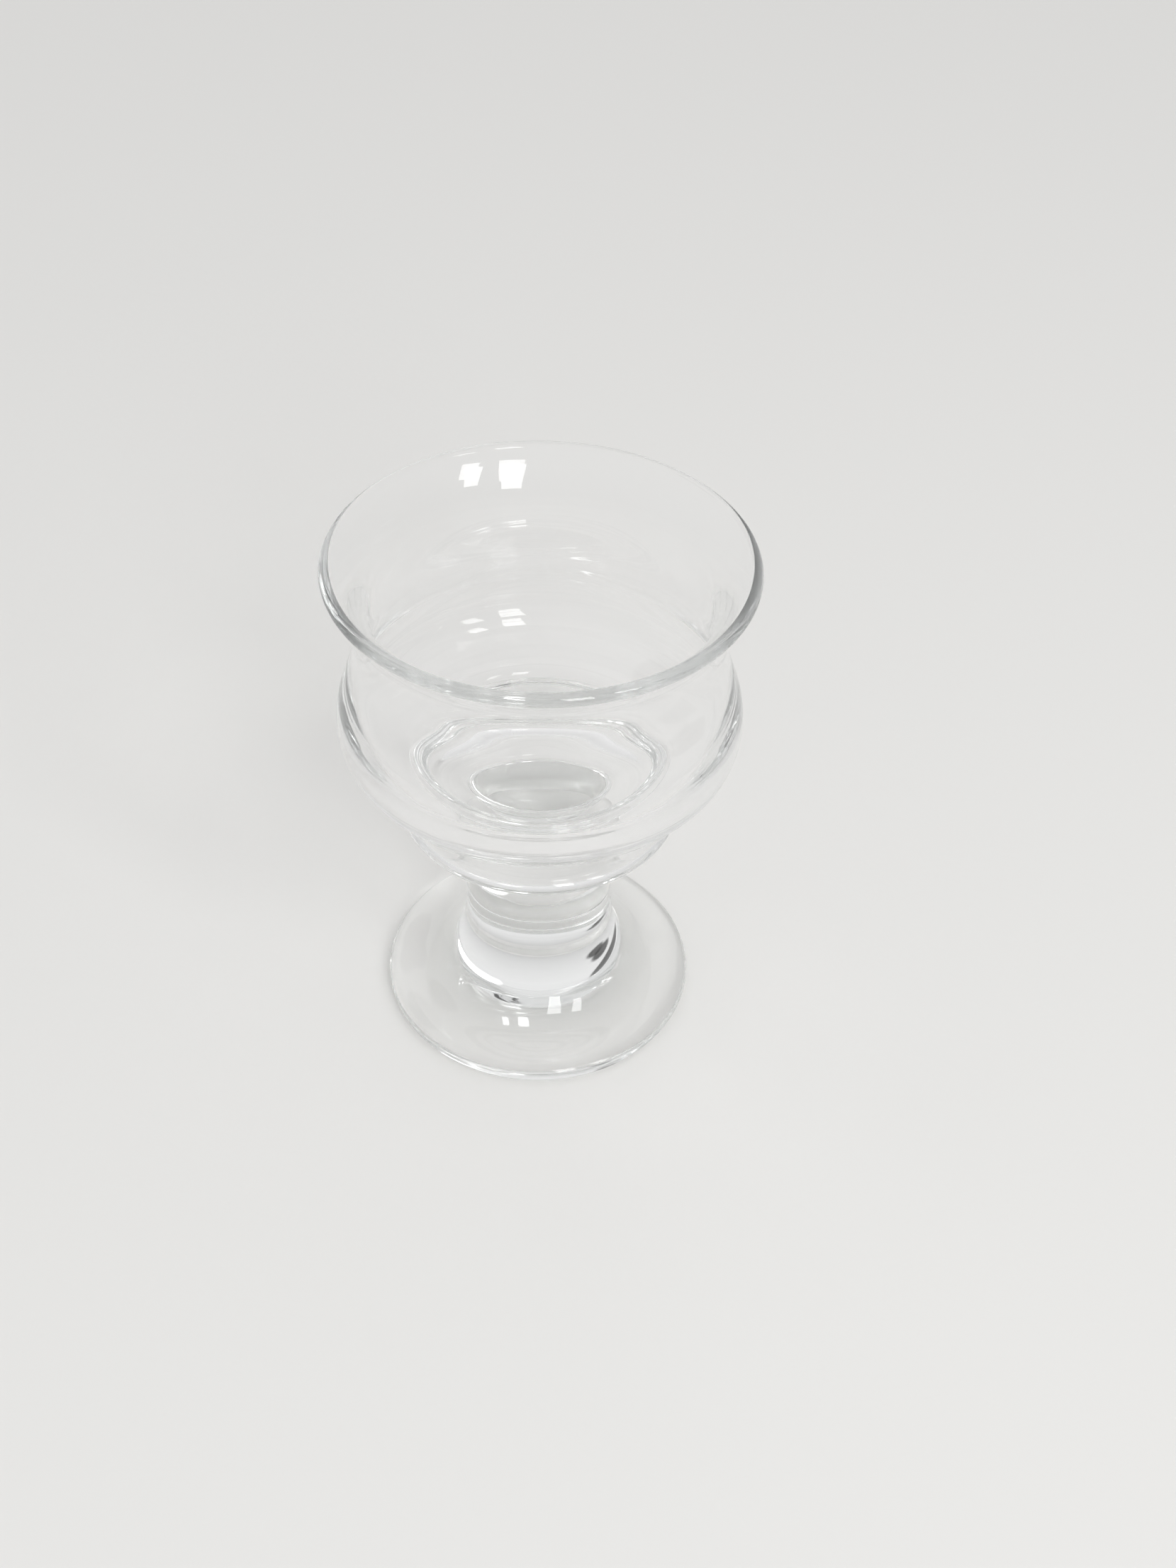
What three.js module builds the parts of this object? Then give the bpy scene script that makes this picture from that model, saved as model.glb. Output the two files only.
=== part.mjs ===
// A footed drinking glass of clear glass, in millimetres, +Z up, standing on z = 0.
// It is four gathers fused hot, one on top of the other: foot, stem, knop and bowl.
// Each is turned from its own outline, and two that are fused share one flat disc.
import * as THREE from 'three';

// Foot: a round plate with a hollow underside, drawn up into the stem
const FOOT_RADIUS = 31.1;
const FOOT_EDGE_THICKNESS = 3.9;
const FOOT_EDGE_ROUND = 2.1;
const STANDING_BAND = 2.3;
const HOLLOW_DEPTH = 0.4;
const HOLLOW_POWER = 3.8;
const FOOT_HEIGHT = 23.9;
const FLARE_BEND_RADIUS = 21.2;
const FLARE_BEND_HEIGHT = 7.2;

// Stem: a short solid column that looks straight
const STEM_RADIUS = 13.9;
const STEM_LENGTH = 22.2;
const STEM_FOOT_SPREAD = 0.6;
const STEM_KNOP_SPREAD = 0.1;

// Knop: a solid cushion of glass, a little dished below and rounded at its edge
const KNOP_RADIUS = 26.8;
const KNOP_HEIGHT = 8.0;
const KNOP_WIDEST_RISE = 4.2;
const KNOP_UNDERSIDE_RADIUS = 21.6;
const KNOP_UNDERSIDE_RISE = 2.9;
const KNOP_TOP_RADIUS = 22.3;

// Bowl, outside: a notch, a rounded belly with a crease on it, a throat and a flared lip
const BOWL_HEIGHT = 51.0;
const NOTCH_RADIUS = 22.8;
const NOTCH_RISE = 3.4;
const SHOULDER_RADIUS = 31.2;
const SHOULDER_RISE = 8.4;
const BELLY_RADIUS = 37.2;
const BELLY_RISE = 17.0;
const CREASE_RADIUS = 36.7;
const CREASE_RISE = 21.1;
const THROAT_RADIUS = 32.8;
const THROAT_BELOW_LIP = 13.6;
const RIM_RADIUS = 38.0;

// Bowl, inside: a straight wall down to a tight corner, then a slope to a shallow well
const LIP_THICKNESS = 2.4;
const THROAT_WALL = 2.9;
const INNER_BELLY_RADIUS = 33.7;
const INNER_BELLY_RISE = 19.1;
const CORNER_RADIUS = 32.9;
const CORNER_RISE = 16.3;
const SLOPE_RADIUS = 30.2;
const SLOPE_RISE = 11.8;
const WELL_RADIUS = 18.4;
const WELL_RISE = 6.5;
const FLOOR_THICKNESS = 3.5;

// Headings of the outlines, in degrees: 0 outwards, 90 up, 180 inwards, 270 down
const FOOT_EDGE_HEADING = 153;
const FLARE_BEND_HEADING = 146;
const FLARE_TOP_HEADING = 92;
const STEM_TOP_HEADING = 91;
const KNOP_UNDERSIDE_HEADING = -11;
const KNOP_TOP_HEADING = 128;
const SHOULDER_HEADING = 26;
const CREASE_HEADING_BELOW = 102;
const CREASE_HEADING_ABOVE = 107;
const LIP_HEADING = 45;
const CORNER_HEADING = 250;
const SLOPE_HEADING = 213;
const WELL_HEADING = 199;

// How finely the outlines and the round are divided
const SIDES = 64;
const STEPS_PER_RUN = 6;
const STEPS_ON_LIP = 8;
const STEPS_ON_EDGE = 10;
const STEPS_UNDER_FOOT = 6;

// How far a run keeps its heading at either end, as a share of its chord
const ROUNDNESS = 0.39;

// Heights of the fused joints and radii that two gathers share
const footTop = FOOT_HEIGHT;
const stemTop = footTop + STEM_LENGTH;
const knopTop = stemTop + KNOP_HEIGHT;
const lipTop = knopTop + BOWL_HEIGHT;
const footJointRadius = STEM_RADIUS + STEM_FOOT_SPREAD;
const knopJointRadius = STEM_RADIUS + STEM_KNOP_SPREAD;

const along = (heading) => new THREE.Vector2(
  Math.cos(THREE.MathUtils.degToRad(heading)),
  Math.sin(THREE.MathUtils.degToRad(heading)),
);

// A place on an outline, and the heading that the outline has there
function station(radius, height, heading) {
  return { at: new THREE.Vector2(radius, height), heading };
}

// The same place, met by an outline that turns a corner there
const turned = (place, heading) => ({ at: place.at, heading });

// A smooth run from one station to the next, leaving and arriving along their headings
function run(from, to) {
  const reach = ROUNDNESS * from.at.distanceTo(to.at);
  return new THREE.CubicBezierCurve(
    from.at,
    from.at.clone().addScaledVector(along(from.heading), reach),
    to.at.clone().addScaledVector(along(to.heading), -reach),
    to.at,
  ).getPoints(STEPS_PER_RUN);
}

// Runs through several stations in turn
function chain(...stations) {
  return stations.slice(1).flatMap((place, i) => run(stations[i], place));
}

// An arc of an ellipse, given by its centre, its two half sizes and two angles in degrees
function arc(centre, halfWidth, halfHeight, startAngle, endAngle, steps) {
  return new THREE.EllipseCurve(
    centre.x, centre.y, halfWidth, halfHeight,
    THREE.MathUtils.degToRad(startAngle), THREE.MathUtils.degToRad(endAngle),
  ).getPoints(steps);
}

const axis = (height) => new THREE.Vector2(0, height);

// One gather, turned from an outline that starts and ends on the axis
function gather(name, outline, color) {
  const apart = outline.filter((p, i) => i === 0 || p.distanceTo(outline[i - 1]) > 1e-6);
  const geometry = new THREE.LatheGeometry(apart, SIDES).rotateX(Math.PI / 2);
  const material = new THREE.MeshStandardMaterial({
    color, roughness: 0.04, metalness: 0, transparent: true, opacity: 0.4,
  });
  const mesh = new THREE.Mesh(geometry, material);
  mesh.name = name;
  return mesh;
}

// The stations where the gathers are fused
const footJoint = station(footJointRadius, footTop, FLARE_TOP_HEADING);
const stemJoint = station(knopJointRadius, stemTop, STEM_TOP_HEADING);
const knopJoint = station(KNOP_TOP_RADIUS, knopTop, KNOP_TOP_HEADING);

// The underside of the foot is flat where it stands and rises in a low vault to the middle
function footUnderside() {
  const vaultRadius = FOOT_RADIUS - FOOT_EDGE_ROUND - STANDING_BAND;
  const points = [];
  for (let i = 0; i <= STEPS_UNDER_FOOT; i += 1) {
    const share = i / STEPS_UNDER_FOOT;
    points.push(new THREE.Vector2(vaultRadius * share, HOLLOW_DEPTH * (1 - share ** HOLLOW_POWER)));
  }
  return points;
}

function foot() {
  const centre = new THREE.Vector2(FOOT_RADIUS - FOOT_EDGE_ROUND, FOOT_EDGE_THICKNESS / 2);
  const edge = arc(centre, FOOT_EDGE_ROUND, FOOT_EDGE_THICKNESS / 2, -90,
    FOOT_EDGE_HEADING - 90, STEPS_ON_EDGE);
  const edgeTop = edge[edge.length - 1];
  const flare = chain(
    { at: edgeTop, heading: FOOT_EDGE_HEADING },
    station(FLARE_BEND_RADIUS, FLARE_BEND_HEIGHT, FLARE_BEND_HEADING),
    footJoint,
  );
  return gather('foot', [...footUnderside(), ...edge, ...flare, axis(footTop)], 0xdde2df);
}

function stem() {
  const side = chain(
    footJoint,
    station(STEM_RADIUS, footTop + STEM_LENGTH / 2, 90),
    stemJoint,
  );
  return gather('stem', [axis(footTop), ...side, axis(stemTop)], 0xd6dcd9);
}

function knop() {
  const side = chain(
    stemJoint,
    station(KNOP_UNDERSIDE_RADIUS, stemTop + KNOP_UNDERSIDE_RISE, KNOP_UNDERSIDE_HEADING),
    station(KNOP_RADIUS, stemTop + KNOP_WIDEST_RISE, 90),
    knopJoint,
  );
  return gather('knop', [axis(stemTop), ...side, axis(knopTop)], 0xcfd6d3);
}

function bowl() {
  const crease = station(CREASE_RADIUS, knopTop + CREASE_RISE, CREASE_HEADING_BELOW);
  const throatHeight = lipTop - THROAT_BELOW_LIP;
  const lipCentre = new THREE.Vector2(RIM_RADIUS - LIP_THICKNESS / 2, lipTop - LIP_THICKNESS / 2);
  const lip = arc(lipCentre, LIP_THICKNESS / 2, LIP_THICKNESS / 2, LIP_HEADING - 90,
    LIP_HEADING + 90, STEPS_ON_LIP);

  const outside = [
    ...chain(
      knopJoint,
      station(NOTCH_RADIUS, knopTop + NOTCH_RISE, 90),
      station(SHOULDER_RADIUS, knopTop + SHOULDER_RISE, SHOULDER_HEADING),
      station(BELLY_RADIUS, knopTop + BELLY_RISE, 90),
      crease,
    ),
    ...chain(
      turned(crease, CREASE_HEADING_ABOVE),
      station(THROAT_RADIUS, throatHeight, 90),
      { at: lip[0], heading: LIP_HEADING },
    ),
  ];

  const inside = chain(
    { at: lip[lip.length - 1], heading: LIP_HEADING + 180 },
    station(THROAT_RADIUS - THROAT_WALL, throatHeight, 270),
    station(INNER_BELLY_RADIUS, knopTop + INNER_BELLY_RISE, 270),
    station(CORNER_RADIUS, knopTop + CORNER_RISE, CORNER_HEADING),
    station(SLOPE_RADIUS, knopTop + SLOPE_RISE, SLOPE_HEADING),
    station(WELL_RADIUS, knopTop + WELL_RISE, WELL_HEADING),
    station(0, knopTop + FLOOR_THICKNESS, 180),
  );
  return gather('bowl', [axis(knopTop), ...outside, ...lip, ...inside], 0xe3e8e5);
}

const glass = new THREE.Group();
glass.name = 'footed_drinking_glass';
glass.add(foot(), stem(), knop(), bowl());

export default glass;
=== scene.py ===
# %% [markdown]
# # A footed drinking glass
#
# This notebook dresses a small footed drinking glass. The real one is four gathers
# of clear glass, fused hot one on top of the other: a round foot with a hollow
# underside, a short stem, a solid knop, and a bowl with a belly and a flared lip.
#
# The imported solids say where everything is. They are faceted, and glass shows every
# facet, because each one bends the light its own way. So each gather is turned again
# here from the same outline with hundreds of smooth steps, and it stands for its solid.

# %% The tools and the fixed frame
import bpy
import math
import numpy as np
from mathutils import Matrix, Vector


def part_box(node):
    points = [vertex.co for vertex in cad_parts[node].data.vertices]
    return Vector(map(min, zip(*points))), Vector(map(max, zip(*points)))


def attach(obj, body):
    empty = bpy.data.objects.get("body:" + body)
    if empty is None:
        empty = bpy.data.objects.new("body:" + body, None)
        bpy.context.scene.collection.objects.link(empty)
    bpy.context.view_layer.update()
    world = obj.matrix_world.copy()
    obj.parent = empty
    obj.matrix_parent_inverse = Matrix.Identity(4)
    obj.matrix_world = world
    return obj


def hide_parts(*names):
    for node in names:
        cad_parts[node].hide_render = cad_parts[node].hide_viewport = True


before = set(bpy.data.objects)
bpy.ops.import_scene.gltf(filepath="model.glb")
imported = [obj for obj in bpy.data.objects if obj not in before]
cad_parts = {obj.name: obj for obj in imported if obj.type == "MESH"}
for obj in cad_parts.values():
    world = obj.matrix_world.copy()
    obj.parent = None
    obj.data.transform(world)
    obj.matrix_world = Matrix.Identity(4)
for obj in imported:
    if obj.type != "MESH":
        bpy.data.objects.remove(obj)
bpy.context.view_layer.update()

# %% [markdown]
# ## Sizes
#
# Everything is in metres. The heights where two gathers are fused, and the radii of the
# rim, the knop and the foot, are read from the solids, so the pieces can't drift away
# from them. The other sizes are the stations that the outlines pass through. They could
# have been a long list of traced points, but a few stations with a heading each make a
# smoother curve, and smoothness matters more on glass than on any other material.
#
# Their values were fitted until a ray tracing of the glass came near the photograph,
# and then rounded. The inside of the bowl and the underside of the foot can't be seen
# directly, so their stations are inferred, and other values would fit nearly as well.

# %% Sizes read from the solids
MM = 0.001

foot_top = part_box("foot")[1].z
stem_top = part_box("stem")[1].z
knop_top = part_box("knop")[1].z
lip_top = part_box("bowl")[1].z
rim_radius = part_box("bowl")[1].x
foot_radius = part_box("foot")[1].x
knop_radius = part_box("knop")[1].x
print("fused at", [round(z / MM, 2) for z in (foot_top, stem_top, knop_top)], "mm")
print("lip at", round(lip_top / MM, 2), "mm, mouth", round(2 * rim_radius / MM, 2), "mm across")

# %% Sizes of the foot and the stem
foot_edge_thickness = 3.9 * MM
foot_edge_round = 2.1 * MM
standing_band = 2.3 * MM
hollow_depth = 0.4 * MM
hollow_power = 3.8
flare_bend_radius = 21.2 * MM
flare_bend_height = 7.2 * MM
stem_radius = 13.9 * MM
stem_foot_spread = 0.6 * MM
stem_knop_spread = 0.1 * MM
foot_joint_radius = stem_radius + stem_foot_spread
knop_joint_radius = stem_radius + stem_knop_spread

# %% Sizes of the knop and of the outside of the bowl
knop_widest_rise = 4.2 * MM
knop_underside_radius = 21.6 * MM
knop_underside_rise = 2.9 * MM
knop_top_radius = 22.3 * MM
notch_radius = 22.8 * MM
notch_rise = 3.4 * MM
shoulder_radius = 31.2 * MM
shoulder_rise = 8.4 * MM
belly_radius = 37.2 * MM
belly_rise = 17.0 * MM
crease_radius = 36.7 * MM
crease_rise = 21.1 * MM
throat_radius = 32.8 * MM
throat_below_lip = 13.6 * MM

# %% Sizes of the inside of the bowl
lip_thickness = 2.4 * MM
throat_wall = 2.9 * MM
inner_belly_radius = 33.7 * MM
inner_belly_rise = 19.1 * MM
corner_radius = 32.9 * MM
corner_rise = 16.3 * MM
slope_radius = 30.2 * MM
slope_rise = 11.8 * MM
well_radius = 18.4 * MM
well_rise = 6.5 * MM
floor_thickness = 3.5 * MM

# %% Headings at the stations, in degrees from outwards, turning towards up
UP, INWARDS, DOWN = 90, 180, 270
QUARTER_TURN, HALF_TURN = 90, 180

foot_edge_heading = 153
flare_bend_heading = 146
flare_top_heading = 92
stem_top_heading = 91
knop_underside_heading = -11
knop_top_heading = 128
shoulder_heading = 26
crease_heading_below = 102
crease_heading_above = 107
lip_heading = 45
corner_heading = 250
slope_heading = 213
well_heading = 199
print("at the crease the outside turns by", crease_heading_above - crease_heading_below, "degrees")

# %% [markdown]
# ## Outlines
#
# An outline is half of a cut through the glass: radius across, height up. Each
# stretch of it is a cubic Bezier curve between two stations. The curve leaves the
# first station along its heading and arrives at the next along that one's heading,
# so neighbouring stretches meet with no kink. A spline through many points would also
# be smooth, but its slope between the points isn't chosen by anyone.
#
# Every point keeps its heading too. The heading turned by a quarter is the surface's
# normal, and the exact normal is what makes the refraction clean.

# %% A stretch of outline
ROUNDNESS = 0.39
STEPS_PER_RUN = 22
STEPS_ON_ARC = 36


def along(heading):
    """The unit vector of a heading in degrees: its cosine outwards and its sine upwards."""
    angle = np.radians(heading)
    return np.stack([np.cos(angle), np.sin(angle)], -1)


def run(start, end):
    """Cubic Bezier from one station to the next. The handles are ROUNDNESS of the chord long.
    Returns the points, and the unit tangents from the curve's derivative."""
    p0 = np.array(start[:2])
    p3 = np.array(end[:2])
    reach = ROUNDNESS * np.linalg.norm(p3 - p0)
    p1 = p0 + reach * along(start[2])
    p2 = p3 - reach * along(end[2])
    t = np.linspace(0, 1, STEPS_PER_RUN + 1)[:, None]
    points = (1 - t) ** 3 * p0 + 3 * t * (1 - t) ** 2 * p1 + 3 * t**2 * (1 - t) * p2 + t**3 * p3
    slope = (1 - t) ** 2 * (p1 - p0) + 2 * t * (1 - t) * (p2 - p1) + t**2 * (p3 - p2)
    return points, slope / np.linalg.norm(slope, axis=1, keepdims=True)


def joined(parts):
    """Stretches one after another, with the doubled point between two of them left out."""
    points = np.vstack([part[0][(i > 0):] for i, part in enumerate(parts)])
    tangents = np.vstack([part[1][(i > 0):] for i, part in enumerate(parts)])
    return points, tangents


def chain(*stations):
    """Runs through several stations in turn."""
    return joined([run(a, b) for a, b in zip(stations, stations[1:])])


def arc(centre, half_width, half_height, start, end):
    """Part of an ellipse: the centre plus the half sizes times cosine and sine of the angle."""
    angle = np.radians(np.linspace(start, end, STEPS_ON_ARC + 1))
    points = np.array(centre) + np.stack([half_width * np.cos(angle), half_height * np.sin(angle)], -1)
    slope = np.stack([-half_width * np.sin(angle), half_height * np.cos(angle)], -1)
    return points, slope / np.linalg.norm(slope, axis=1, keepdims=True)


# %% [markdown]
# ## Turning
#
# A glassblower's piece is round because it turns while it is soft. The mesh is made
# the same way: point (r, z) of the outline goes to (r cos a, r sin a, z) for every
# angle a at once. Blender's Spin tool would do it too, but here the normals are known
# exactly, and each face can carry a mark that says which stretch it belongs to.

# %% Turning a profile about the axis
SIDES = 256


def carried_round(pairs):
    """Each pair (across, up) goes to (across cos a, across sin a, up) for every angle a."""
    angle = np.arange(SIDES) * 2 * np.pi / SIDES
    spin = np.stack([np.cos(angle), np.sin(angle)], -1)
    return np.concatenate([pairs[:, None, :1] * spin, np.repeat(pairs[:, None, 1:], SIDES, 1)], -1)


def ahead(grid):
    """The same grid, one step further round."""
    return np.roll(grid, -1, axis=1)


# %% [markdown]
# Between two neighbouring rings lies a band of four-cornered faces. At either end of
# the outline the ring shrinks to one point on the axis, and the band is a fan of
# triangles. At a corner of the outline two stretches meet with different tangents, so
# each band takes the tangents of its own stretch at its two ends, and the corner stays
# sharp while the rest is smooth.

# %% A closed piece turned from its outline
def turned(name, stretches):
    """A stretch is (points, tangents, mark). The stretches follow one another from axis to axis,
    and a point where two of them meet is kept once. The corner normals are the tangent (r', z')
    turned right, (z', -r'), carried round."""
    outline = np.vstack([points[(i > 0):] for i, (points, tangents, mark) in enumerate(stretches)])
    rings = carried_round(outline[1:-1])
    poles = [[0, 0, outline[0, 1]], [0, 0, outline[-1, 1]]]
    verts = np.vstack([rings.reshape(-1, 3), poles])
    first_pole, last_pole = len(verts) - 2, len(verts) - 1

    number = np.arange(first_pole).reshape(-1, SIDES)
    after = ahead(number)
    first_fan = np.stack([np.full(SIDES, first_pole), after[0], number[0]], -1)
    bands = np.stack([number[:-1], after[:-1], after[1:], number[1:]], -1)
    last_fan = np.stack([number[-1], after[-1], np.full(SIDES, last_pole)], -1)
    faces = [*first_fan.tolist(), *bands.reshape(-1, 4).tolist(), *last_fan.tolist()]

    right = np.array([[0, -1], [1, 0]])
    low = carried_round(np.vstack([tangents[:-1] for points, tangents, mark in stretches]) @ right)
    high = carried_round(np.vstack([tangents[1:] for points, tangents, mark in stretches]) @ right)
    first_lean = np.stack([low[0], ahead(high)[0], high[0]], 1)
    band_lean = np.stack([low, ahead(low), ahead(high), high], 2)[1:-1]
    last_lean = np.stack([low[-1], ahead(low)[-1], high[-1]], 1)
    normals = np.vstack([lean.reshape(-1, 3) for lean in (first_lean, band_lean, last_lean)])
    marks = np.concatenate([np.full((len(points) - 1) * SIDES, mark)
                            for points, tangents, mark in stretches])

    mesh = bpy.data.meshes.new(name)
    mesh.from_pydata(verts.tolist(), [], faces)
    mesh.attributes.new("joint", "FLOAT", "FACE").data.foreach_set("value", marks.astype(np.float32))
    mesh.polygons.foreach_set("use_smooth", np.ones(len(faces), bool))
    mesh.normals_split_custom_set(normals.tolist())
    piece = bpy.data.objects.new(name, mesh)
    bpy.context.collection.objects.link(piece)
    print(name, len(outline), "outline points,", len(faces), "faces")
    return piece


# %% [markdown]
# ## Where the gathers are fused
#
# Two pieces that are fused share a station: the same radius, height and heading. That
# keeps the outside of the glass smooth across the joint.
#
# Inside, each piece is closed by a flat disc. On the real glass there is nothing there
# to see. So the faces of a disc are marked as a joint, in an attribute of the mesh, and
# the material lets light through them unbent. The two discs that meet would lie in one
# plane, and a ray can miss one of two surfaces in the same place, so each is dished
# into its own piece by a fiftieth of a millimetre.

# %% The disc of a joint
JOINT_DISH = 0.02 * MM


def disc(radius, height, outwards):
    """The joint's disc as a stretch, from the axis to its edge or back, dished by a hair."""
    middle = height + JOINT_DISH if outwards else height - JOINT_DISH
    ends = np.array([[0.0, middle], [radius, height]])
    tangents = np.array([[1.0, 0.0], [1.0, 0.0]])
    return (ends, tangents) if outwards else (ends[::-1], -tangents)


# %% The two marks and the shared stations
SURFACE, JOINT = 0.0, 1.0
foot_joint = (foot_joint_radius, foot_top, flare_top_heading)
stem_joint = (knop_joint_radius, stem_top, stem_top_heading)
knop_joint = (knop_top_radius, knop_top, knop_top_heading)

# %% [markdown]
# ## The foot
#
# The foot is a gather pressed flat, then drawn up into the stem. Its edge is
# fire-polished round. The underside is pushed in a little in the middle, so that the
# glass stands on a flat ring and doesn't rock. Seen from above through the curve of the
# flare, the underside is a mirror: the bright drum with the dark accent at the base of
# the stem is the room in it. So the vault is a smooth power curve and not a dent made
# by hand in Edit Mode.

# %% The foot
STEPS_UNDER_FOOT = 60
edge_centre = (foot_radius - foot_edge_round, foot_edge_thickness / 2)
vault_radius = edge_centre[0] - standing_band


def underside():
    """The vault: height = depth times one minus a power of radius over vault radius."""
    share = np.linspace(0, 1, STEPS_UNDER_FOOT + 1)
    points = np.stack([vault_radius * share, hollow_depth * (1 - share**hollow_power)], -1)
    fall = -hollow_power * hollow_depth * share ** (hollow_power - 1)
    slope = np.stack([np.full_like(share, vault_radius), fall], -1)
    return points, slope / np.linalg.norm(slope, axis=1, keepdims=True)


def flat_band():
    """The ring that the glass stands on, from the vault to the foot of the rounded edge."""
    points = np.array([[vault_radius, 0.0], [edge_centre[0], 0.0]])
    return points, np.array([[1.0, 0.0], [1.0, 0.0]])


edge_points, edge_tangents = arc(
    edge_centre, foot_edge_round, foot_edge_thickness / 2,
    -QUARTER_TURN, foot_edge_heading - QUARTER_TURN)
edge_top = (*edge_points[-1], foot_edge_heading)
flare = chain(edge_top, (flare_bend_radius, flare_bend_height, flare_bend_heading), foot_joint)
foot = turned("foot_glass", [
    (*underside(), SURFACE),
    (*flat_band(), SURFACE),
    (edge_points, edge_tangents, SURFACE),
    (*flare, SURFACE),
    (*disc(foot_joint_radius, foot_top, False), JOINT),
])

# %% [markdown]
# ## The stem
#
# The stem is a short solid column with a waist so slight that it looks straight. A plain
# cylinder would nearly do, but the stem widens a little where it meets the foot and the
# knop, and a kink there would show as a line round the glass.

# %% The stem
waist = (stem_radius, (foot_top + stem_top) / 2, UP)
stem = turned("stem_glass", [
    (*disc(foot_joint_radius, foot_top, True), JOINT),
    (*chain(foot_joint, waist, stem_joint), SURFACE),
    (*disc(knop_joint_radius, stem_top, False), JOINT),
])

# %% [markdown]
# ## The knop
#
# The knop is a cushion of solid glass, rounded at its edge and a little dished below.
# It works as a thick lens under the drink. A squashed sphere would be close to it, but
# the dish of the underside sets how far that lens bends the light, so the underside
# has a station and a heading of its own.

# %% The knop
knop = turned("knop_glass", [
    (*disc(knop_joint_radius, stem_top, True), JOINT),
    (*chain(
        stem_joint,
        (knop_underside_radius, stem_top + knop_underside_rise, knop_underside_heading),
        (knop_radius, stem_top + knop_widest_rise, UP),
        knop_joint,
    ), SURFACE),
    (*disc(knop_top_radius, knop_top, False), JOINT),
])

# %% [markdown]
# ## The bowl
#
# The outside goes in at a notch over the knop, out round the belly, over a crease, in
# again to the throat and out to the lip. The inside goes nearly straight down to a
# tight corner, then slopes to a shallow well. The bends of that floor are what draws
# the rings that shine inside the bowl. The lip is a half circle: a cut edge that a
# flame has melted round.

# %% The stations outside the bowl
throat_height = lip_top - throat_below_lip
notch = (notch_radius, knop_top + notch_rise, UP)
shoulder = (shoulder_radius, knop_top + shoulder_rise, shoulder_heading)
belly = (belly_radius, knop_top + belly_rise, UP)
crease_below = (crease_radius, knop_top + crease_rise, crease_heading_below)
crease_above = (crease_radius, knop_top + crease_rise, crease_heading_above)
throat = (throat_radius, throat_height, UP)

# %% The lip, a half circle that starts and ends across the heading of the wall
lip_round = lip_thickness / 2
lip_centre = (rim_radius - lip_round, lip_top - lip_round)
lip_points, lip_tangents = arc(
    lip_centre, lip_round, lip_round, lip_heading - QUARTER_TURN, lip_heading + QUARTER_TURN)
lip_outside = (*lip_points[0], lip_heading)
lip_inside = (*lip_points[-1], lip_heading + HALF_TURN)
print("lip", round(lip_thickness / MM, 2), "mm thick")

# %% The inside of the bowl, and the bowl
inside = chain(
    lip_inside,
    (throat_radius - throat_wall, throat_height, DOWN),
    (inner_belly_radius, knop_top + inner_belly_rise, DOWN),
    (corner_radius, knop_top + corner_rise, corner_heading),
    (slope_radius, knop_top + slope_rise, slope_heading),
    (well_radius, knop_top + well_rise, well_heading),
    (0, knop_top + floor_thickness, INWARDS),
)
bowl = turned("bowl_glass", [
    (*disc(knop_top_radius, knop_top, True), JOINT),
    (*chain(knop_joint, notch, shoulder, belly, crease_below), SURFACE),
    (*chain(crease_above, throat, lip_outside), SURFACE),
    (lip_points, lip_tangents, SURFACE),
    (*inside, SURFACE),
])

# %% [markdown]
# ## The pieces and the solids
#
# Each turned piece now takes the place of its imported solid, which is hidden, and
# rides on the one body that the glass has. Nothing on the glass moves, so all four
# ride on the same body.

# %% Each piece stands for its solid and rides with it
for piece, node in ((foot, "foot"), (stem, "stem"), (knop, "knop"), (bowl, "bowl")):
    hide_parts(node)
    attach(piece, "root")

# %% [markdown]
# ## Glass
#
# Clear glass has no colour of its own to speak of. What you see is the room, bent.
# So its finish is in its surface: hand-worked glass is never quite even, and slow
# swells in it make the lines and reflections wander. Two noise textures of different
# widths tilt the normal, as swells a few thousandths of a millimetre high would. A
# displaced mesh would do the same, but it would need far more faces.
#
# The glass also takes away a little light on the way through, more of it where it is
# thick. That is what greys the base. Volume absorption does it by distance, which a
# tinted surface can't, because a surface doesn't know how far the light has come.
#
# One material covers a whole piece. If the joints had a material of their own, the
# light would enter the body through one material and leave through another, and Blender
# would count the absorption twice from there on.

# %% A helper for nodes
def added(tree, kind, **inputs):
    """A new node with these values on its sockets, by name with spaces as underscores."""
    made = tree.nodes.new(kind)
    for name, value in inputs.items():
        made.inputs[name.replace("_", " ")].default_value = value
    return made


# %% The surface and the body of hand-worked glass
REFRACTION = 1.5
BODY_COLOUR = (0.890, 0.897, 0.893, 1)
BODY_DENSITY = 20.0
SWELL_WIDTH = 14 * MM
RIPPLE_WIDTH = 5 * MM
RIPPLE_SHARE = 0.15


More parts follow.
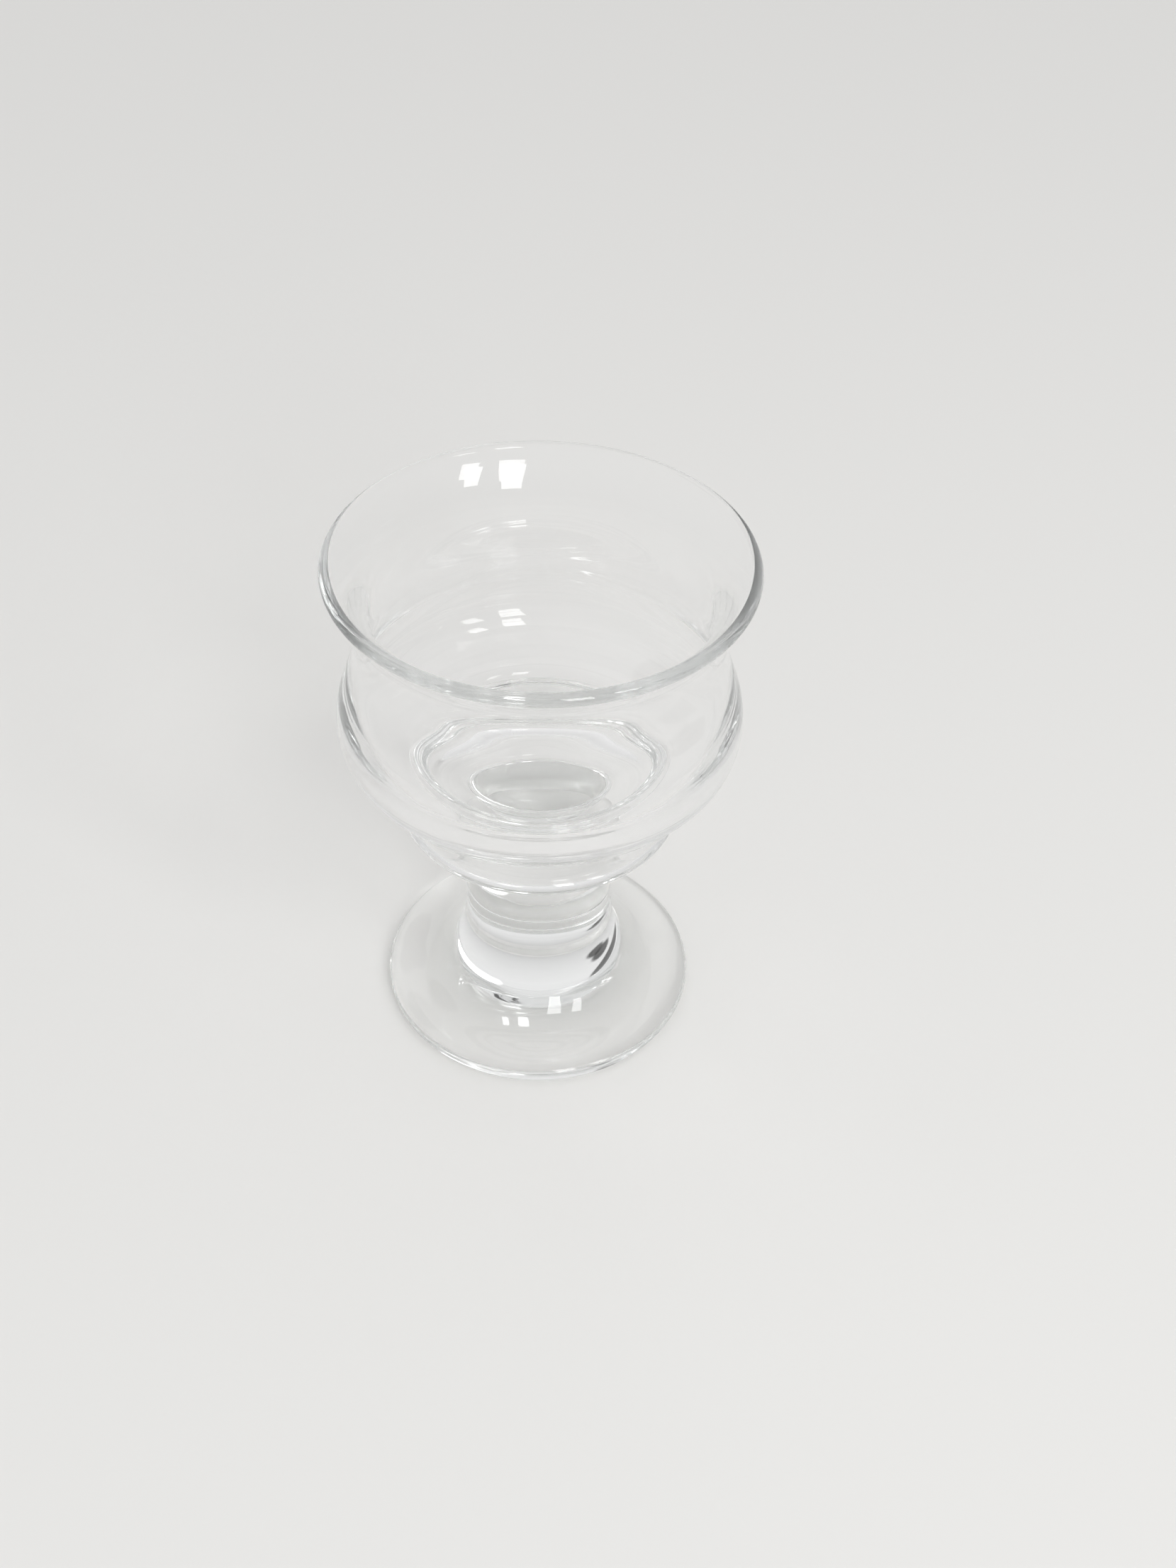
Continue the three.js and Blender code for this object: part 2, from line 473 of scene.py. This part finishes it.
def glass_material(name, swell):
    """Glass with slow swells of this height in metres, finer ripples, and a faint grey body."""
    made = bpy.data.materials.new(name)
    made.use_nodes = True
    tree = made.node_tree
    tree.nodes.clear()
    place = added(tree, "ShaderNodeTexCoord")
    slow = added(tree, "ShaderNodeTexNoise", Scale=1 / SWELL_WIDTH, Detail=1.0)
    fine = added(tree, "ShaderNodeTexNoise", Scale=1 / RIPPLE_WIDTH, Detail=1.0)
    swells = added(tree, "ShaderNodeBump", Strength=1.0, Distance=swell)
    ripples = added(tree, "ShaderNodeBump", Strength=1.0, Distance=swell * RIPPLE_SHARE)
    glass = added(tree, "ShaderNodeBsdfGlass", Color=(1, 1, 1, 1), IOR=REFRACTION, Roughness=0.0)
    clear = added(tree, "ShaderNodeBsdfTransparent", Color=(1, 1, 1, 1))
    joint = added(tree, "ShaderNodeAttribute")
    joint.attribute_name = "joint"
    surface = added(tree, "ShaderNodeMixShader")
    body = added(tree, "ShaderNodeVolumeAbsorption", Color=BODY_COLOUR, Density=BODY_DENSITY)
    out = added(tree, "ShaderNodeOutputMaterial")
    tree.links.new(place.outputs["Object"], slow.inputs["Vector"])
    tree.links.new(place.outputs["Object"], fine.inputs["Vector"])
    tree.links.new(slow.outputs["Fac"], swells.inputs["Height"])
    tree.links.new(fine.outputs["Fac"], ripples.inputs["Height"])
    tree.links.new(swells.outputs["Normal"], ripples.inputs["Normal"])
    tree.links.new(ripples.outputs["Normal"], glass.inputs["Normal"])
    tree.links.new(joint.outputs["Fac"], surface.inputs[0])
    tree.links.new(glass.outputs[0], surface.inputs[1])
    tree.links.new(clear.outputs[0], surface.inputs[2])
    tree.links.new(surface.outputs[0], out.inputs["Surface"])
    tree.links.new(body.outputs[0], out.inputs["Volume"])
    return made


# %% Each piece has a glass of its own, with swells of its own height
foot_swell, stem_swell, knop_swell, bowl_swell = 0.004 * MM, 0.002 * MM, 0.002 * MM, 0.003 * MM
for piece, swell in ((foot, foot_swell), (stem, stem_swell), (knop, knop_swell), (bowl, bowl_swell)):
    piece.data.materials.append(glass_material(piece.name, swell))
    print(piece.name, "has swells of", round(swell / MM, 4), "mm")

# %% [markdown]
# ## The table
#
# A pale matt table, a hair below the glass so that the two surfaces don't share a plane.
# Blender's own plane would do as well. Four corners written out show its size at once,
# and its mesh needs no scale that would have to be applied.

# %% The table
table_size = 1.3
table_gap = 0.05 * MM
TABLE_COLOUR = (0.78, 0.775, 0.76, 1)
TABLE_ROUGHNESS = 0.6
TABLE_SHINE = 0.2

half = table_size / 2
table_corners = [(x * half, y * half, -table_gap) for x, y in ((-1, -1), (1, -1), (1, 1), (-1, 1))]
table_mesh = bpy.data.meshes.new("table")
table_mesh.from_pydata(table_corners, [], [(0, 1, 2, 3)])
table = bpy.data.objects.new("table", table_mesh)
bpy.context.collection.objects.link(table)

table_finish = bpy.data.materials.new("pale_table")
table_finish.use_nodes = True
table_shader = table_finish.node_tree.nodes["Principled BSDF"]
table_shader.inputs["Base Color"].default_value = TABLE_COLOUR
table_shader.inputs["Roughness"].default_value = TABLE_ROUGHNESS
table_shader.inputs["Specular IOR Level"].default_value = TABLE_SHINE
table_mesh.materials.append(table_finish)
print("table", table_size, "m wide")

# %% [markdown]
# ## The room
#
# Glass needs something darker than the table round it, or its edges vanish. The room
# is darker near the horizon and brighter overhead, and a few dark things stand in it
# behind the glass and to the left. The glass gathers them into the black accents at
# the right of the stem. They are made from the direction that the light comes from:
# its dot product with the way to the thing is the cosine of the angle between them,
# so a soft step on it draws a round patch. The camera itself doesn't see them, so from
# any side the backdrop stays plain.

# %% The level of the room, by how high the light comes from
HORIZON_LEVEL = 0.64
OVERHEAD_LEVEL = 0.9
OVERHEAD_HEIGHT = 0.8

world = bpy.data.worlds.new("room")
bpy.context.scene.world = world
world.use_nodes = True
room = world.node_tree
background = room.nodes["Background"]
background.inputs["Color"].default_value = (1, 1, 1, 1)
direction = added(room, "ShaderNodeTexCoord")
height = added(room, "ShaderNodeSeparateXYZ")
room.links.new(direction.outputs["Generated"], height.inputs[0])
level = added(room, "ShaderNodeMapRange", From_Min=0.0, From_Max=OVERHEAD_HEIGHT,
              To_Min=HORIZON_LEVEL, To_Max=OVERHEAD_LEVEL)
room.links.new(height.outputs["Z"], level.inputs["Value"])
print("the room goes from", HORIZON_LEVEL, "at the horizon to", OVERHEAD_LEVEL, "overhead")

# %% A dark thing in the room
DARK_LEVEL = 0.12
DARK_EDGE = 3


def way(azimuth, elevation):
    """The unit vector to a place in the room. Azimuth 0 is towards the camera, plus is right."""
    turn, rise = math.radians(azimuth), math.radians(elevation)
    return Vector((math.sin(turn) * math.cos(rise), -math.cos(turn) * math.cos(rise), math.sin(rise)))


def combined(operation, first, second):
    """Two outputs put together by a product or a maximum."""
    made = added(room, "ShaderNodeMath")
    made.operation = operation
    room.links.new(first, made.inputs[0])
    room.links.new(second, made.inputs[1])
    return made.outputs[0]


def darkened(light, azimuth, elevation, radius):
    """The light times a soft step that is dark within this many degrees of the direction."""
    near = added(room, "ShaderNodeVectorMath")
    near.operation = "DOT_PRODUCT"
    near.inputs[1].default_value = way(azimuth, elevation)
    room.links.new(direction.outputs["Generated"], near.inputs[0])
    step = added(room, "ShaderNodeMapRange", From_Min=math.cos(math.radians(radius + DARK_EDGE)),
                 From_Max=math.cos(math.radians(radius)), To_Min=1.0, To_Max=DARK_LEVEL)
    step.interpolation_type = "SMOOTHSTEP"
    room.links.new(near.outputs["Value"], step.inputs["Value"])
    return combined("MULTIPLY", light, step.outputs[0])


# %% The dark things, by azimuth, elevation and radius in degrees
DARK_THINGS = ((-149, 28, 4), (-142, 35, 5), (-117, 50, 8))

light = level.outputs[0]
for azimuth, elevation, radius in DARK_THINGS:
    light = darkened(light, azimuth, elevation, radius)
path = added(room, "ShaderNodeLightPath")
plain = combined("MULTIPLY", level.outputs[0], path.outputs["Is Camera Ray"])
room.links.new(combined("MAXIMUM", light, plain), background.inputs["Strength"])
print(len(DARK_THINGS), "dark things in the room")

# %% [markdown]
# ## The window
#
# The light is a window with two panes, to the right of the camera and behind it. Its
# reflections are most of what makes the glass look wet and solid. A pane is an area
# lamp, placed by the two azimuths and two elevations between which the glass sees it. A
# glowing plane would reflect in the same way, but Blender aims its rays at a lamp, so
# the table under it has less noise.

# %% A pane
WINDOW_DISTANCE = 1.2
PANE_RADIANCE = 7.0


def span(angles, distance):
    """How wide a flat thing at this distance fills these degrees: twice the tangent of half of them."""
    return 2 * distance * math.tan(math.radians(angles[1] - angles[0]) / 2)


def pane(name, azimuths, elevations):
    """An area lamp facing the glass. Power = radiance times pi times area."""
    azimuth, elevation = sum(azimuths) / 2, sum(elevations) / 2
    lamp = bpy.data.lights.new(name, "AREA")
    lamp.shape = "RECTANGLE"
    lamp.size = span(azimuths, WINDOW_DISTANCE * math.cos(math.radians(elevation)))
    lamp.size_y = span(elevations, WINDOW_DISTANCE)
    lamp.energy = PANE_RADIANCE * math.pi * lamp.size * lamp.size_y
    made = bpy.data.objects.new(name, lamp)
    bpy.context.collection.objects.link(made)
    away = way(azimuth, elevation)
    made.location = Vector((0, 0, lip_top / 2)) + WINDOW_DISTANCE * away
    made.rotation_euler = (-away).to_track_quat("-Z", "Y").to_euler()
    print(name, "%.2f by %.2f m," % (lamp.size, lamp.size_y), "%.1f W" % lamp.energy)


# %% The two panes, by their azimuths and elevations in degrees
pane("pane_near", azimuths=(12, 26), elevations=(19, 48))
pane("pane_far", azimuths=(40, 50), elevations=(28, 47))

# %% [markdown]
# ## The camera
#
# The camera's place and lens were worked out from the ellipses of the rim, the belly
# and the foot in the photograph: only one viewpoint gives all three their widths. It
# could be aimed with a Track To constraint, but that leaves out the slight roll of a
# camera held by hand, so its three axes are worked out from three angles.

# %% The camera's lens and place
FOCAL_LENGTH_IN_PIXELS = 2482.5
PHOTO_HEIGHT_IN_PIXELS = 2212
SENSOR_SIDE = 36
camera_place = (0, -0.24745, 0.28004)
yaw, pitch, roll = 0.03718733, 0.74330875, 0.03385411

camera_data = bpy.data.cameras.new("camera")
camera_data.sensor_width = SENSOR_SIDE
camera_data.lens = FOCAL_LENGTH_IN_PIXELS / PHOTO_HEIGHT_IN_PIXELS * SENSOR_SIDE
camera = bpy.data.objects.new("camera", camera_data)
bpy.context.collection.objects.link(camera)
print("lens", round(camera_data.lens, 2), "mm")

# %% The camera's axes: forward from yaw and pitch, then right and up turned by the roll
forward = Vector((math.sin(yaw) * math.cos(pitch), math.cos(yaw) * math.cos(pitch), -math.sin(pitch)))
level_right = Vector((math.cos(yaw), -math.sin(yaw), 0))
level_up = level_right.cross(forward)
right = level_right * math.cos(roll) + level_up * math.sin(roll)
up = level_up * math.cos(roll) - level_right * math.sin(roll)
turn = Matrix((right, up, -forward)).transposed().to_4x4()
camera.matrix_world = Matrix.Translation(camera_place) @ turn
bpy.context.scene.camera = camera
print("it looks down by", round(math.degrees(pitch), 1), "degrees")

# %% [markdown]
# ## Render settings that belong to glass
#
# Light passes many surfaces in a thick glass, and each one counts as a bounce. With
# the usual limits the deep parts of the base turn black.
#
# Light that gets into the lip at its left or right end runs round inside it from
# reflection to reflection. Real glass has no limit on them, but here 20 leave those
# ends darker than in the photograph and 52 leave them paler. The 28 in between was
# chosen, so that grey is a choice of looks and not a measure of the glass.
#
# Blender also blurs light that has been scattered once, to save noise. Through a thick
# lens that blur takes light away from the table behind it, so it is switched off.

# %% Light bounces
BOUNCES = 48
REFLECTIONS = 28
JOINTS_PASSED = 40

scene = bpy.context.scene
scene.view_settings.view_transform = "Standard"
scene.cycles.max_bounces = BOUNCES
scene.cycles.transmission_bounces = BOUNCES
scene.cycles.glossy_bounces = REFLECTIONS
scene.cycles.transparent_max_bounces = JOINTS_PASSED
scene.cycles.blur_glossy = 0.0
print("up to", BOUNCES, "bounces,", REFLECTIONS, "of them reflections")
